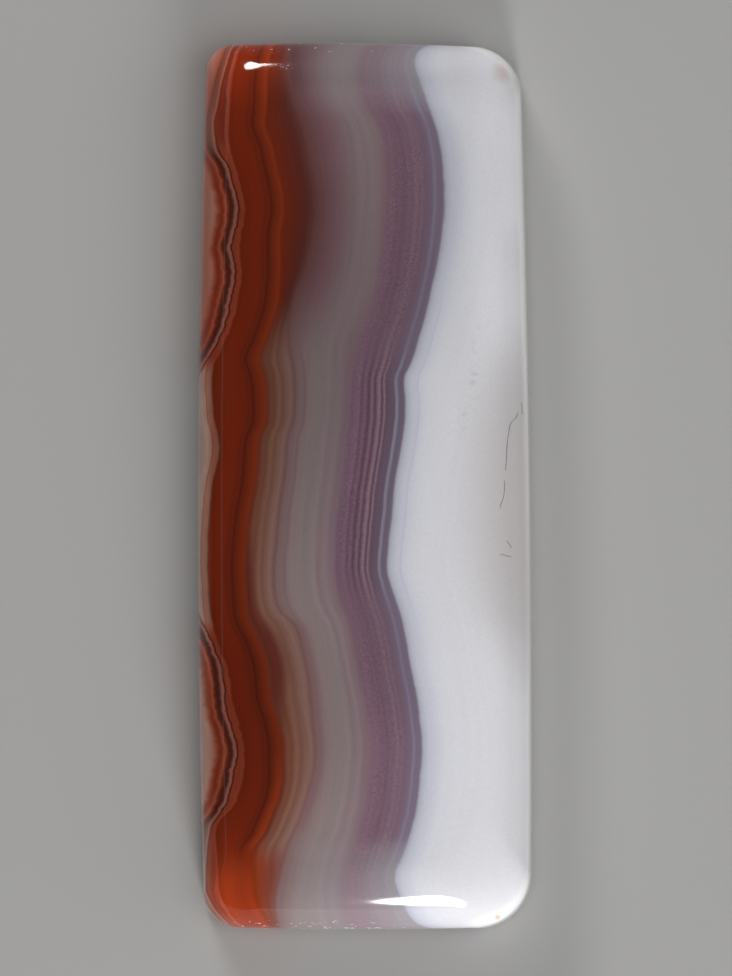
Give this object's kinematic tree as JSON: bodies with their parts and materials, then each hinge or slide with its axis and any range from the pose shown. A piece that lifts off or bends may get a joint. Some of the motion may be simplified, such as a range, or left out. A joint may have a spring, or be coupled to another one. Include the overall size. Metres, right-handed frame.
{
  "type": "coyamito agate cabochon",
  "caption": "Long rounded-rectangle banded agate cabochon, red through grey and purple to white, with a low polished crown and a flat lapped back for a bezel or a glued mount.",
  "frame": {"origin": "middle of the flat back's bounding box, on the back face", "axes": "+Z out of the polished crown, +Y along the stone towards its narrower end, +X across the stone from the red bands to the white ones"},
  "size_m": [0.0152, 0.04, 0.0052],
  "materials": {
    "banded_agate": "polished crown and girdle, lapped semi-matte back"
  },
  "bodies": {
    "root": {"agate_cabochon": "banded_agate"}
  },
  "joints": []
}
